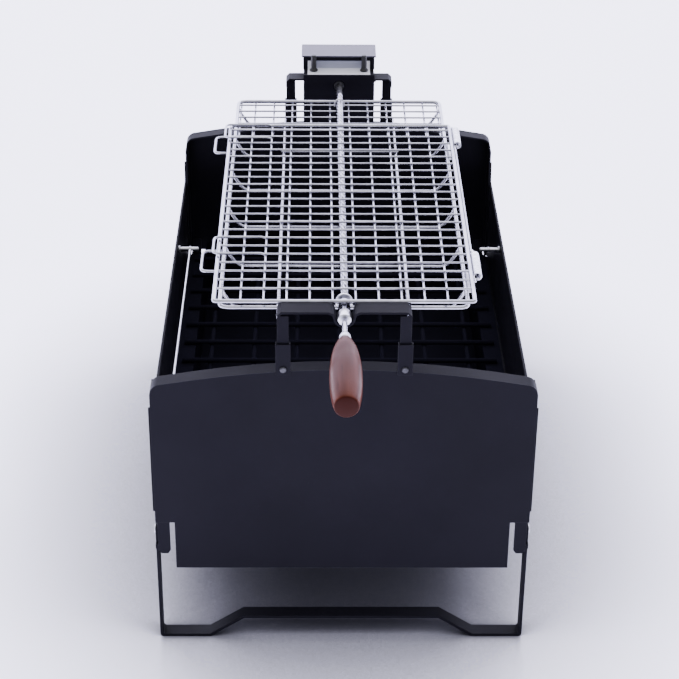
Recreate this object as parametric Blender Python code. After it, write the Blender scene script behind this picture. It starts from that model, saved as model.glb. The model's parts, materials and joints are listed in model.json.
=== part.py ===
"""Charcoal spit roaster: a folding sheet-steel box, two strap supports, a wire basket on a spit,
a wooden handle and a battery motor. One object per piece, metres, Z up, floor at z = 0."""

import math

import bmesh
import bpy
import numpy as np
from mathutils import Vector

# ---- driving dimensions, millimetres. LOCAL Y is 0 at the front ends of the side walls. ----
GAP = 0.3
SHEET = 1.2

BOX_HALF = 145.0          # outer half width over the side walls
SIDE_T = 2.0
SIDE_LEN = 440.0
SIDE_Z0 = 121.0
SIDE_Z1 = 196.5
EAR_Z = 214.0
EAR_LEN = 5.0
SIDE_LIP = 9.0
PEG_Y = 310.0
PEG_Z = 188.0

END_HALF = BOX_HALF - SIDE_T - GAP
END_OUT = 9.0             # the end panels stand this far outside the side walls' ends
END_Z0 = 117.0
DOME_Z = 252.5
DOME_DROP = 14.0
CORNER_R = 9.0
DOME_FLANGE = 13.0
SIDE_FLANGE = 23.0
LOWER_HALF = 128.0
LOWER_Z = 74.5

PAN_LIP_Z = SIDE_Z0 + SHEET + GAP
GRATE_D = 4.0

STRAP_T = 2.4
STRAP_W = 12.0
LEG_X = 141.5             # inner face of a leg strap
PIVOT_Y = 6.0
PIVOT_Z = 100.0
FOOT_IN = 104.0
RISE_IN = 77.0
RISE = 18.0

SUP_HALF = 48.6
SUP_LEG_W = 8.4
SUP_T = 1.6
SUP_DEPTH = 15.4
SUP_FRONT = 0.4           # the legs stand just inside the end panel's face
SUP_TOP = 300.0
SUP_BOTTOM = 251.9
SLEEVE_Z0 = 248.8
SLEEVE_Z1 = 274.2
SLEEVE_SEAT = 252.9       # its back stands on the end panel's flange
SCREW_Z = 253.6
NOTCH_HALF = 6.6
NOTCH_DEPTH = 11.2

SPIT_Z = 294.0
ROD_SIDE = 4.4
ROD_FRONT = -44.0
ROD_REAR = 437.0
HANDLE_FRONT = -127.0
HANDLE_REAR = -38.0

WIRE = 2.0
RIM = 3.2
LID_HALF = 94.5
LID_Y0 = 9.0
LID_Y1 = 327.0
LID_Z = SPIT_Z + 5.4      # contact plane of the lid's two wire layers
LID_CROSS = 22
LID_LONG = 10
TRAY_HALF = 91.0
TRAY_Y0 = 19.0
TRAY_Y1 = 406.6
BOW_Y = (48.0, 116.5, 185.0, 254.0, 323.0, 392.0)
TRAY_DROP = 17.0

PLATE_Y = 431.0
MOTOR_HALF = 32.5
MOTOR_Y0 = 454.2
MOTOR_Y1 = 481.0
MOTOR_TOP = 313.0
MOTOR_BOTTOM = 236.0

Y_MIN = HANDLE_FRONT
Y_MAX = MOTOR_Y1 + 1.2
Y_MID = (Y_MIN + Y_MAX) / 2


# ---- materials ----
def material(name, colour, metallic, roughness):
    found = bpy.data.materials.get(name)
    if found:
        return found
    made = bpy.data.materials.new(name)
    made.use_nodes = True
    shader = made.node_tree.nodes["Principled BSDF"]
    shader.inputs["Base Color"].default_value = (*colour, 1.0)
    shader.inputs["Metallic"].default_value = metallic
    shader.inputs["Roughness"].default_value = roughness
    return made


def black_paint():
    return material("black_coat", (0.02, 0.02, 0.028), 0.1, 0.45)


def chrome():
    return material("chrome_wire", (0.75, 0.75, 0.78), 1.0, 0.16)


def steel():
    return material("plain_steel", (0.55, 0.55, 0.58), 1.0, 0.3)


def brushed():
    return material("brushed_cover", (0.62, 0.61, 0.66), 1.0, 0.34)


def wood():
    return material("handle_wood", (0.3, 0.13, 0.08), 0.0, 0.4)


def plastic():
    return material("black_plastic", (0.015, 0.015, 0.018), 0.0, 0.5)


def grey_plastic():
    return material("grey_face", (0.5, 0.52, 0.6), 0.2, 0.4)


def gear_plastic():
    return material("gear_nylon", (0.8, 0.78, 0.7), 0.0, 0.5)


def battery_wrap():
    return material("battery_wrap", (0.1, 0.12, 0.2), 0.3, 0.35)


# ---- mesh helpers: points in millimetres in the local frame ----
def world(point):
    x, y, z = point
    return Vector((x, y - Y_MID, z)) / 1000.0


def add(name, points, faces, mat, origin=(0.0, Y_MID, 0.0), hidden=False):
    """One object from points and faces, its origin put on `origin`, normals facing out."""
    base = world(origin)
    mesh = bpy.data.meshes.new(name)
    mesh.from_pydata([world(p) - base for p in points], [], faces)
    made = bmesh.new()
    made.from_mesh(mesh)
    bmesh.ops.recalc_face_normals(made, faces=made.faces)
    made.to_mesh(mesh)
    made.free()
    obj = bpy.data.objects.new(name, mesh)
    obj.location = base
    bpy.context.scene.collection.objects.link(obj)
    if hidden:
        obj.hide_render = True
        obj.display_type = "WIRE"
    else:
        mesh.materials.append(mat)
    return obj


def loft(rings, closed=False):
    """Points and faces of a tube through rings of equal length, capped unless closed."""
    count = len(rings[0])
    points = [p for ring in rings for p in ring]
    faces = []
    pairs = list(zip(range(len(rings) - 1), range(1, len(rings))))
    if closed:
        pairs.append((len(rings) - 1, 0))
    for a, b in pairs:
        for i in range(count):
            j = (i + 1) % count
            faces.append((a * count + i, a * count + j, b * count + j, b * count + i))
    if not closed:
        faces.append(tuple(range(count)))
        faces.append(tuple(range((len(rings) - 1) * count, len(rings) * count)))
    return points, faces


def prism(outline, axis, low, high):
    """A 2-D outline carried along an axis: X takes (y, z), Y takes (x, z), Z takes (x, y)."""
    place = {
        "X": lambda p, t: (t, p[0], p[1]),
        "Y": lambda p, t: (p[0], t, p[1]),
        "Z": lambda p, t: (p[0], p[1], t),
    }[axis]
    return loft([[place(p, low) for p in outline], [place(p, high) for p in outline]])


def box(x0, x1, y0, y1, z0, z1):
    return prism([(x0, y0), (x1, y0), (x1, y1), (x0, y1)], "Z", z0, z1)


def turned(profile, axis, centre, sides):
    """A solid of revolution from (radius, along) pairs, about an axis through `centre`."""
    cx, cy, cz = centre
    rings = []
    for radius, along in profile:
        ring = []
        for i in range(sides):
            a = 2 * math.pi * (i + 0.5) / sides
            u, v = radius * math.cos(a), radius * math.sin(a)
            if axis == "X":
                ring.append((cx + along, cy + u, cz + v))
            elif axis == "Y":
                ring.append((cx + u, cy + along, cz + v))
            else:
                ring.append((cx + u, cy + v, cz + along))
        rings.append(ring)
    return loft(rings)


def swept(path, radius, sides=6, closed=False):
    """A round wire along a path, mitred at its bends."""
    points = [Vector(p) for p in path]
    count = len(points)
    up = None
    rings = []
    for i, here in enumerate(points):
        before = points[i - 1] if (closed or i) else None
        after = points[(i + 1) % count] if (closed or i < count - 1) else None
        into = (here - before).normalized() if before is not None else None
        out = (after - here).normalized() if after is not None else None
        into = into or out
        out = out or into
        along = (into + out).normalized()
        if up is None:
            guess = Vector((0, 0, 1)) if abs(along.z) < 0.9 else Vector((0, 1, 0))
            up = (guess - along * guess.dot(along)).normalized()
        up = (up - along * up.dot(along)).normalized()
        side = along.cross(up)
        bend = (out - into) if (out - into).length > 1e-6 else None
        stretch = 1.0 / max(0.5, along.dot(into))
        ring = []
        for k in range(sides):
            a = 2 * math.pi * (k + 0.5) / sides
            offset = (up * math.cos(a) + side * math.sin(a)) * radius
            if bend is not None:
                lean = bend.normalized()
                offset += lean * offset.dot(lean) * (stretch - 1.0)
            ring.append(tuple(here + offset))
        rings.append(ring)
    return loft(rings, closed)


def merged(*pieces):
    points, faces = [], []
    for p, f in pieces:
        start = len(points)
        points += p
        faces += [tuple(i + start for i in face) for face in f]
    return points, faces


def joined(target, *others, operation="UNION"):
    """Adds an exact Boolean with each (points, faces) piece, kept as a hidden cutter object."""
    for i, piece in enumerate(others):
        tag = "cut" if operation == "DIFFERENCE" else "add"
        tool = add(f"{target.name}_{tag}{len(target.modifiers)}", *piece, None, hidden=True)
        made = target.modifiers.new(f"{tag}{i}", "BOOLEAN")
        made.operation = operation
        made.solver = "EXACT"
        made.use_self = False
        made.object = tool
    return target


def cut(target, *others):
    return joined(target, *others, operation="DIFFERENCE")


# ---- wire lattice with exact flat contacts, built as one closed mesh ----
def lattice(cross, long, contact):
    """Octagonal wires in two layers that share flats where they cross.

    cross: (y, radius, x0, x1) wires above the contact plane.
    long: (x, radius, y0, y1) wires below it.
    """
    points, faces, index = [], [], {}

    def vertex(p):
        key = (round(p[0], 5), round(p[1], 5), round(p[2], 5))
        if key not in index:
            index[key] = len(points)
            points.append(key)
        return index[key]

    def half(radius):
        return radius * math.tan(math.pi / 8)

    def wire(place, start, end, radius, marks, sign):
        """place(along, across, up); marks are (lo, hi) spans of the contact flat."""
        h = half(radius)
        prof = [(-h, 0), (-radius, radius - h), (-radius, radius + h), (-h, 2 * radius)]
        prof += [(-p, q) for p, q in reversed(prof)]
        stops = [start]
        for lo, hi in marks:
            stops += [lo, hi]
        stops.append(end)
        low = {s: [vertex(place(t, s * h, 0)) for t in stops] for s in (-1, 1)}
        outer = []
        for p, q in prof[1:-1]:
            outer.append([vertex(place(t, p, sign * q)) for t in (start, end)])
        # contact flat, open where a wire crosses
        for i in range(0, len(stops) - 1, 2):
            if stops[i + 1] - stops[i] > 1e-9:
                faces.append((low[-1][i], low[-1][i + 1], low[1][i + 1], low[1][i]))
        # the two slants beside the flat are fans from the outer edge's start
        for side, edge in ((-1, outer[0]), (1, outer[-1])):
            ids = low[side]
            for i in range(len(ids) - 1):
                faces.append((edge[0], ids[i], ids[i + 1]))
            faces.append((edge[0], ids[-1], edge[1]))
        for a, b in zip(outer, outer[1:]):
            faces.append((a[0], a[1], b[1], b[0]))
        for end_i, low_i in ((0, 0), (1, -1)):
            faces.append(
                tuple([low[-1][low_i]] + [o[end_i] for o in outer] + [low[1][low_i]])
            )

    for y, r, x0, x1 in cross:
        marks = [(x - half(q), x + half(q)) for x, q, y0, y1 in long if x0 < x < x1 and y0 < y < y1]
        wire(lambda t, a, u, y=y: (t, y + a, contact + u), x0, x1, r, sorted(marks), 1)
    for x, q, y0, y1 in long:
        marks = [(y - half(r), y + half(r)) for y, r, x0, x1 in cross if x0 < x < x1 and y0 < y < y1]
        wire(lambda t, a, u, x=x: (x + a, t, contact + u), y0, y1, q, sorted(marks), -1)
    return points, faces


# ---- the box ----
def arc(cx, cz, radius, a0, a1, steps):
    out = []
    for i in range(steps + 1):
        a = math.radians(a0 + (a1 - a0) * i / steps)
        out.append((cx + radius * math.cos(a), cz + radius * math.sin(a)))
    return out


def dome(half, top, inset=0.0):
    """The upper outline from the right edge over the dome to the left edge."""
    right = []
    corner_x = half - CORNER_R
    corner_z = top - DOME_DROP - CORNER_R + 1.2
    right += arc(corner_x, corner_z, CORNER_R - inset, 0, 72, 4)
    start = right[-1][0]
    centre = []
    for i in range(1, 12):
        x = start * (1 - 2 * i / 12)
        centre.append((x, top - inset - DOME_DROP * (x / start) ** 2 * 0.97))
    left = [(-x, z) for x, z in reversed(right)]
    return right + centre + left


def end_panel(name, rear):
    sign = -1 if rear else 1
    face = SIDE_LEN + END_OUT if rear else -END_OUT

    def y_at(depth):
        return face + sign * depth

    half = END_HALF
    outline = [(LOWER_HALF, LOWER_Z), (LOWER_HALF, END_Z0), (half, END_Z0)] + dome(half, DOME_Z)
    outline += [(-half, END_Z0), (-LOWER_HALF, END_Z0), (-LOWER_HALF, LOWER_Z)]
    lo, hi = sorted((y_at(0), y_at(SHEET)))
    body = add(name, *prism(outline, "Y", lo, hi), black_paint())
    # the perimeter flange: over the dome, then down both sides
    outer = dome(half, DOME_Z)
    inner = dome(half, DOME_Z, SHEET)
    inner[0] = (half - SHEET, inner[0][1])
    inner[-1] = (-(half - SHEET), inner[-1][1])
    band = outer + list(reversed(inner))
    lo, hi = sorted((y_at(0.4), y_at(DOME_FLANGE)))
    joined(body, prism(band, "Y", lo, hi))
    lo, hi = sorted((y_at(0.4), y_at(SIDE_FLANGE)))
    for s in (-1, 1):
        x0, x1 = sorted((s * (half - SHEET), s * half))
        joined(body, box(x0, x1, lo, hi, END_Z0, outer[0][1] + 0.05))
    return body


def side_wall(name, sign):
    ear = EAR_LEN
    outline = [
        (0, SIDE_Z0), (SIDE_LEN, SIDE_Z0), (SIDE_LEN, EAR_Z), (SIDE_LEN - 1.5, EAR_Z),
        (SIDE_LEN - ear, SIDE_Z1), (ear, SIDE_Z1), (1.5, EAR_Z), (0, EAR_Z),
    ]
    x0, x1 = sorted((sign * (BOX_HALF - SIDE_T), sign * BOX_HALF))
    wall = add(name, *prism(outline, "X", x0, x1), black_paint())
    x0, x1 = sorted((sign * (BOX_HALF - SIDE_T - SIDE_LIP), sign * (BOX_HALF - SIDE_T + 0.4)))
    joined(wall, box(x0, x1, 16, SIDE_LEN - 16, SIDE_Z0, SIDE_Z0 + SHEET))
    return wall


def ash_pan():
    y0, y1 = -END_OUT + SHEET + GAP, SIDE_LEN + END_OUT - SHEET - GAP
    out, h, t = END_HALF - SHEET - GAP, LOWER_HALF - 0.6, SHEET
    top = PAN_LIP_Z
    outline = [
        (-h, LOWER_Z), (h, LOWER_Z), (h, top), (out, top), (out, top + t), (h - t, top + t),
        (h - t, LOWER_Z + t), (-h + t, LOWER_Z + t), (-h + t, top + t), (-out, top + t),
        (-out, top), (-h, top),
    ]
    pan = add("ash_pan", *prism(outline, "Y", y0, y1), black_paint())
    # the lips stop short of the end panels' leg brackets
    for lo, hi in ((y0 - 1, 15.5), (SIDE_LEN - 15.5, y1 + 1)):
        for s in (-1, 1):
            x0, x1 = sorted((s * (h + 0.2), s * (out + 1)))
            cut(pan, box(x0, x1, lo, hi, top - 1, top + t + 1))
    return pan


def charcoal_grate():
    plane = PAN_LIP_Z + SHEET + GAP
    r = GRATE_D / 2
    long = [(x, r, 22, SIDE_LEN - 22) for x in np.linspace(-112, 112, 7)]
    cross = [(y, r, -136, 136) for y in np.linspace(30, SIDE_LEN - 30, 13)]
    return add("charcoal_grate", *lattice(cross, long, plane), black_paint())


def wall_peg(name, sign):
    """A bright turned peg on a side wall's inner face; the left one holds a thin stay rod's end."""
    at = (sign * (BOX_HALF - SIDE_T - GAP), PEG_Y, PEG_Z)
    profile = [(3.0, 0), (3.0, 1.2), (1.7, 1.6), (1.7, 9.0), (2.3, 9.4), (2.3, 10.4), (1.7, 10.8), (1.7, 17.0), (1.1, 17.6)]
    profile = [(r, -sign * along) for r, along in profile]
    peg = add(name, *turned(profile, "X", at, 14), steel(), origin=at)
    if sign < 0:
        start = -END_OUT + SHEET + GAP
        joined(peg, turned([(1.0, 0), (1.0, PEG_Y - 0.4 - start)], "Y", (at[0] + 9.9, start, PEG_Z), 8))
    return peg


def rivet(name, centre, sign, length, mat):
    """A headed pin along X: its big head outside, a small one inside."""
    body = [
        (3.6, 0.0), (4.0, 0.35), (4.0, 0.8), (2.3, 0.8), (2.3, length - 0.9),
        (3.4, length - 0.9), (3.4, length - 0.2), (2.8, length),
    ]
    profile = [(r, -sign * a) for r, a in body]
    return add(name, *turned(profile, "X", centre, 12), mat, origin=centre)


# ---- legs ----
def leg_bracket(name, sign, rear):
    """An angle riveted behind an end panel: the tab in front, the cheek that takes the pivot."""
    side = -1 if rear else 1
    base = SIDE_LEN if rear else 0.0

    def y_at(v):
        return base + side * v

    tab_back = -END_OUT + SHEET + GAP
    x1 = LEG_X - GAP
    x0 = x1 - 1.4
    tab = [(132, 90), (134, 87), (139, 87), (x1, 90), (x1, 116.5), (x1 - 1.6, 116.5)]
    tab += [(x1 - 1.6, 129), (132, 129)]
    tab = [(sign * x, z) for x, z in tab]
    lo, hi = sorted((y_at(tab_back), y_at(tab_back + SHEET)))
    body = add(name, *prism(tab, "Y", lo, hi), black_paint())
    cheek = [(tab_back + 0.4, 91), (tab_back + 3, 87.5), (12, 92), (14, 98), (14, 110)]
    cheek += [(8, 116), (tab_back + 0.4, 116)]
    cheek = [(y_at(y), z) for y, z in cheek]
    a, b = sorted((sign * x0, sign * x1))
    joined(body, prism(cheek, "X", a, b))
    a, b = sorted((sign * (x0 + 0.5), sign * (LEG_X + STRAP_T)))
    lo, hi = sorted((y_at(-3.6), y_at(-GAP)))
    joined(body, box(a, b, lo, hi, 88.6, 92.4))
    pivot = (0, y_at(PIVOT_Y), PIVOT_Z)
    cut(body, turned([(2.6, sign * 138), (2.6, sign * 146)], "X", pivot, 12))
    return body


def leg(name, rear):
    side = -1 if rear else 1
    base = SIDE_LEN if rear else 0.0
    t = STRAP_T
    xi = LEG_X
    tilt = math.atan2(RISE, FOOT_IN - RISE_IN)
    shift = t * math.tan(tilt / 2)
    top = PIVOT_Z + 6.0
    lower = [(-xi - t, top), (-xi - t, 2.0), (-xi - t + 2.0, 0), (-FOOT_IN, 0), (-RISE_IN, RISE)]
    upper = [(-RISE_IN + shift, RISE + t), (-FOOT_IN + shift, t), (-xi + 1.4, t), (-xi, t + 1.4)]
    upper += [(-xi, top)]
    upper[0] = (-RISE_IN - shift, RISE + t)
    upper[1] = (-FOOT_IN - shift, t)
    lower += [(-x, z) for x, z in reversed(lower)]
    upper = [(-x, z) for x, z in reversed(upper)] + upper
    pivot = (0.0, base + side * PIVOT_Y, PIVOT_Z)
    lo, hi = sorted((base, base + side * STRAP_W))
    body = add(name, *prism(lower + upper, "Y", lo, hi), black_paint(), origin=pivot)
    for s in (-1, 1):
        cut(body, turned([(2.6, s * 138), (2.6, s * 146)], "X", pivot, 12))
    return body


# ---- supports ----
def support(name, rear):
    """An inverted U: two flat legs in front of the panel, a bridge folded back, a dip for the spit."""
    side = -1 if rear else 1
    face = SIDE_LEN + END_OUT if rear else -END_OUT

    def y_at(v):
        return face + side * v

    t = SUP_T
    front = SUP_FRONT
    top, h, w = SUP_TOP, SUP_HALF, SUP_LEG_W
    dip = arc(0, top - NOTCH_DEPTH + NOTCH_HALF, NOTCH_HALF, 180, 360, 8)
    lip = [(NOTCH_HALF + 5.0, top), (NOTCH_HALF + 1.2, top - 1.4)]
    upper = [(h - 3, top), *lip] + list(reversed(dip)) + [(-x, z) for x, z in reversed(lip)]
    upper += [(-h + 3, top)]
    inner_dip = arc(0, top - NOTCH_DEPTH + NOTCH_HALF, NOTCH_HALF + t, 180, 360, 8)
    inner_lip = [(NOTCH_HALF + 5.4, top - t), (NOTCH_HALF + 2.4, top - t - 1.2)]
    lower = [(h - 3.6, top - t), *inner_lip] + list(reversed(inner_dip))
    lower += [(-x, z) for x, z in reversed(inner_lip)] + [(-h + 3.6, top - t)]
    # the bridge as a strip bent down at both ends
    strip = [(h, top - 3), *upper, (-h, top - 3), (-h, top - 8), (-h + t, top - 8)]
    strip += [(-h + t, top - 3.6), *reversed(lower), (h - t, top - 3.6), (h - t, top - 8)]
    strip += [(h, top - 8)]
    lo, hi = sorted((y_at(front), y_at(front + SUP_DEPTH)))
    pivot = (0.0, y_at(front), top)
    body = add(name, *prism(strip, "Y", lo, hi), black_paint(), origin=pivot)
    lo, hi = sorted((y_at(front), y_at(front + t)))
    for s in (-1, 1):
        x0, x1 = sorted((s * h, s * (h - w)))
        joined(body, box(x0, x1, lo, hi, SUP_BOTTOM, top - 3.2))
    return body


def sleeve(name, sign, rear):
    """A folded clip on the end panel's top edge that the support's leg slides in."""
    side = -1 if rear else 1
    face = SIDE_LEN + END_OUT if rear else -END_OUT

    def y_at(v):
        return face + side * v

    centre = sign * (SUP_HALF - SUP_LEG_W / 2)
    half = SUP_LEG_W / 2 + GAP + 1.0
    c0, c1 = centre - half, centre + half
    inner = SUP_FRONT + SUP_T + GAP

    def slab(x0, x1, d0, d1, z0, z1):
        lo, hi = sorted((y_at(d0), y_at(d1)))
        return box(x0, x1, lo, hi, z0, z1)

    body = add(name, *slab(c0, c1, -GAP - SHEET, -GAP, SLEEVE_Z0, SLEEVE_Z1), black_paint())
    joined(
        body,
        slab(c0, c0 + 1.0, -GAP - 0.2, inner + 1.0, SLEEVE_SEAT, SLEEVE_Z1),
        slab(c1 - 1.0, c1, -GAP - 0.2, inner + 1.0, SLEEVE_SEAT, SLEEVE_Z1),
        slab(c0, c1, inner, inner + 1.0, SLEEVE_SEAT, SLEEVE_Z1),
    )
    cut(body, turned([(1.9, 0), (1.9, 7)], "Y", (centre, min(y_at(-6), y_at(1)), SCREW_Z), 12))
    return body


def sleeve_screw(name, sign, rear):
    """The screw through the sleeve's front wall that clamps the support's leg."""
    side = -1 if rear else 1
    face = SIDE_LEN + END_OUT if rear else -END_OUT
    centre = (sign * (SUP_HALF - SUP_LEG_W / 2), face, SCREW_Z)
    under = -GAP - SHEET - GAP
    body = [(1.4, -3.2), (2.2, -2.9), (2.6, under - 0.1), (2.6, under), (1.6, under), (1.6, 0.1)]
    profile = [(r, side * a) for r, a in body]
    return add(name, *turned(profile, "Y", centre, 12), steel(), origin=centre)


# ---- spit ----
def spit_rod():
    r, a = 2.0, ROD_SIDE / 2

    def ring(y, corner, middle):
        out = []
        for i in range(8):
            t = math.pi / 4 * i
            d = corner if i % 2 == 0 else middle
            out.append((d * math.cos(t), y, SPIT_Z + d * math.sin(t)))
        return out

    rings = [
        ring(ROD_FRONT - 20, r, r), ring(8, r, r), ring(12, a * math.sqrt(2), a),
        ring(ROD_REAR - 4, a * math.sqrt(2), a), ring(ROD_REAR + 8, 1.6, 1.2),
    ]
    pivot = (0, ROD_REAR, SPIT_Z)
    return add("spit_rod", *loft(rings), chrome(), origin=pivot)


def ringed(name, profile, y, bore, mat, sides=16):
    """A turned piece about the spit with a round bore."""
    centre = (0, y, SPIT_Z)
    body = add(name, *turned(profile, "Y", centre, sides), mat, origin=centre)
    ends = [a for _, a in profile]
    return cut(body, turned([(bore, min(ends) - 1), (bore, max(ends) + 1)], "Y", centre, 12))


def handle():
    long = HANDLE_REAR - HANDLE_FRONT
    share = [
        (0.0, 8.1), (0.012, 9.0), (0.08, 9.9), (0.2, 10.8), (0.36, 11.3), (0.52, 11.2),
        (0.68, 10.3), (0.82, 8.7), (0.92, 6.6), (0.985, 4.6), (1.0, 4.1),
    ]
    centre = (0, HANDLE_FRONT, SPIT_Z)
    profile = [(r, s * long) for s, r in share]
    body = add("handle", *turned(profile, "Y", centre, 24), wood(), origin=centre)
    bore = turned([(2.4, long - 40), (2.4, long + 1)], "Y", centre, 12)
    return cut(body, bore)


def spit_parts():
    spit_rod()
    handle()
    ringed("ferrule", [(4.2, 0), (4.2, 4.4), (3.2, 7.4)], HANDLE_REAR + GAP, 2.4, steel())
    ringed("bearing_bush", [(4.0, 0), (4.9, 0.8), (4.9, 9.8), (4.0, 10.6)], -9.6, 2.4, steel())
    ringed("set_collar", [(4.4, 0), (5.1, 0.8), (5.1, 4.2), (4.4, 5)], 11.2, 3.5, chrome())


# ---- basket ----
def lid():
    cross = [(LID_Y0, RIM / 2, -LID_HALF - 1.6, LID_HALF + 1.6)]
    cross += [(LID_Y1, RIM / 2, -LID_HALF - 1.6, LID_HALF + 1.6)]
    first = LID_Y0 + 18.5
    for i in range(LID_CROSS):
        y = first + (LID_Y1 - 11.0 - first) * i / (LID_CROSS - 1)
        cross.append((y, WIRE / 2, -LID_HALF - 1.4, LID_HALF + 1.4))
    long = [(s * LID_HALF, RIM / 2, LID_Y0 - 1.6, LID_Y1 + 1.6) for s in (-1, 1)]
    pitch = 2 * LID_HALF / (LID_LONG + 1.28)
    for i in range(LID_LONG):
        x = (i - (LID_LONG - 1) / 2) * pitch
        long.append((x, WIRE / 2, LID_Y0 - 1.4, LID_Y1 + 1.4))
    hinge = (-LID_HALF, LID_Y0, LID_Z - RIM / 2)
    return add("basket_lid", *lattice(cross, long, LID_Z), chrome(), origin=hinge)


RIM_Z = SPIT_Z - 5.2


def tray_rim():
    y0, y1, h = TRAY_Y0, TRAY_Y1, TRAY_HALF
    ring = [(-h, y0, RIM_Z), (h, y0, RIM_Z), (h, y1, RIM_Z), (-h, y1, RIM_Z)]
    pivot = (0, y0, SPIT_Z)
    body = add("tray_rim", *swept(ring, RIM / 2, 8, closed=True), chrome(), origin=pivot)
    low = RIM_Z - TRAY_DROP
    bows = []
    for y in BOW_Y:
        bow = [(-h, y, RIM_Z + 0.2), (-h + 3, y, low + 5), (-h + 10, y, low), (h - 10, y, low)]
        bow += [(h - 3, y, low + 5), (h, y, RIM_Z + 0.2)]
        bows.append(swept(bow, 1.2, 6))
    joined(body, merged(*bows), merged(hinge_loop(75.0, 108.5), hinge_loop(292.0, 325.5)))
    return body


def tray_grid():
    """Two lengthways rails on the bows, tied by short cross wires above some of the bows."""
    plane = RIM_Z - TRAY_DROP + 1.2 + GAP + RIM * 0.9
    long = [(s * 48.5, 1.4, TRAY_Y0 + 10, TRAY_Y1 - 5) for s in (-1, 1)]
    cross = [(y, 1.1, -51, 51) for y in BOW_Y[::2]]
    return add("tray_grid", *lattice(cross, long, plane), chrome(), origin=(0, TRAY_Y0, SPIT_Z))


def tray_mesh():
    """The fixed wire panel inside the rim, from under the lid's far edge to the rear."""
    pitch = 2 * LID_HALF / (LID_LONG + 1.28)
    y1 = TRAY_Y1 - RIM / 2 - GAP
    half = TRAY_HALF - RIM / 2 - GAP
    xs = [(i - (LID_LONG - 1) / 2) * pitch for i in range(LID_LONG)] + [-half + 1, half - 1]
    long = [(x, WIRE / 2, LID_Y1 + 5, y1) for x in sorted(xs)]
    cross = [(y1 - 8 - 13.8 * i, WIRE / 2, -half, half) for i in range(5)]
    return add("tray_mesh_rear", *lattice(cross, long, RIM_Z - GAP), chrome(), origin=(0, y1, SPIT_Z))


def end_plate(name, y, top, half=6.2):
    low = -5.2 + RIM / 2 + GAP
    outline = [(-half, low), (half, low), (half, top - half)]
    outline += [(x, z - SPIT_Z) for x, z in arc(0, SPIT_Z + top - half, half, 0, 180, 10)][1:-1]
    outline += [(-half, top - half)]
    outline = [(x, z + SPIT_Z) for x, z in outline]
    body = add(name, *prism(outline, "Y", y, y + 1.6), steel(), origin=(0, y, SPIT_Z))
    return cut(body, turned([(3.5, -2), (3.5, 4)], "Y", (0, y, SPIT_Z), 12))


def wire_piece(name, path, radius, origin, closed=False):
    return add(name, *swept(path, radius, 8, closed), chrome(), origin=origin)


def hinge_loop(y0, y1):
    """A rounded wire ear welded to the tray's left rim."""
    x0, x1, z = -TRAY_HALF + 0.2, -107.5, RIM_Z
    c = 4.0
    path = [
        (x0, y0, z), (x1 + c, y0, z), (x1 + 1.2, y0 + 1.2, z), (x1, y0 + c, z), (x1, y1 - c, z),
        (x1 + 1.2, y1 - 1.2, z), (x1 + c, y1, z), (x0, y1, z),
    ]
    return swept(path, 1.1, 8)


def bail(name, y0, y1):
    """A wire hook over the lid's left edge, reaching in to its second lengthways wire."""
    z = LID_Z + WIRE + GAP + 0.9
    x0, x1 = -LID_HALF - 2.0, -58.0
    path = [(x1, y0, z), (x0, y0, z), (x0 - 2, y0 + 2, z), (x0 - 2, y1 - 2, z), (x0, y1, z), (x1, y1, z)]
    return wire_piece(name, path, 0.9, (x1, y0, z))


LATCH_X = LID_HALF + 5.2
LATCH_Z = LID_Z - 1.6


def latch_wire():
    """One bent wire along the lid's right edge, its two bows being the latches' axles."""
    xi, x, z = LID_HALF + RIM / 2 + GAP + 0.9, LATCH_X, LATCH_Z
    path = [(xi, 43.0, z), (xi, 46.5, z), (x, 46.5, z), (x, 90.5, z), (xi, 90.5, z)]
    path += [(xi, 287.5, z), (x, 287.5, z), (x, 324.5, z), (xi, 324.5, z), (xi, 327.5, z)]
    return wire_piece("latch_wire", path, 0.9, (x, 46.5, z))


def latch(name, y0, y1):
    """A rolled sheet clip round the latch wire, its flap hanging beside the lid's and tray's rims."""
    r0, r1 = 2.4, 3.3
    x, z = LATCH_X, LATCH_Z
    outer = arc(0, 0, r1, 210, -90, 16)
    inner = arc(0, 0, r0, -90, 210, 16)
    roll = [(x + u, z + w) for u, w in outer + inner]
    body = add(name, *prism(roll, "Y", y0, y1), steel(), origin=(x, y0, z))
    flap = [
        (x - r1 + 0.02, z + 0.6), (x - r1 + 0.02, z - 12.8), (x - 6.0, z - 12.8), (x - 6.4, z - 13.2),
        (x - 6.0, z - 13.7), (x - r0 - 0.02, z - 13.7), (x - r0 - 0.02, z + 0.6),
    ]
    joined(body, prism(flap, "Y", y0, y1))
    return body


def basket_parts():
    lid()
    tray_rim()
    tray_grid()
    tray_mesh()
    end_plate("end_plate_front", 18.4, 6.6)
    end_plate("end_plate_rear", 390.0, 4.5, 4.4)
    bail("lid_bail_front", 78.5, 106.0)
    bail("lid_bail_rear", 294.5, 322.0)
    latch_wire()
    latch("latch_front", 51.0, 86.0)
    latch("latch_rear", 290.0, 322.0)


# ---- motor ----
def motor_bracket():
    h = MOTOR_HALF
    y, t = PLATE_Y, 1.4
    back = SIDE_LEN + END_OUT - SUP_FRONT
    top = SUP_TOP + GAP
    section = [
        (y, 257), (y + t, 257), (y + t, top), (back + 0.6 + SHEET, top), (back + 0.6 + SHEET, top + SHEET),
        (y + t, top + SHEET), (y + t, 304.9), (y, 304.9),
    ]
    body = add("motor_bracket", *prism(section, "X", -h, h), black_paint())
    joined(body, box(-h, h, back + 0.6, back + 0.6 + SHEET, 262, top + 0.5))
    cut(body, turned([(4.9, -4), (4.9, 40)], "Y", (0, y, SPIT_Z), 16))
    return body


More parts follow.
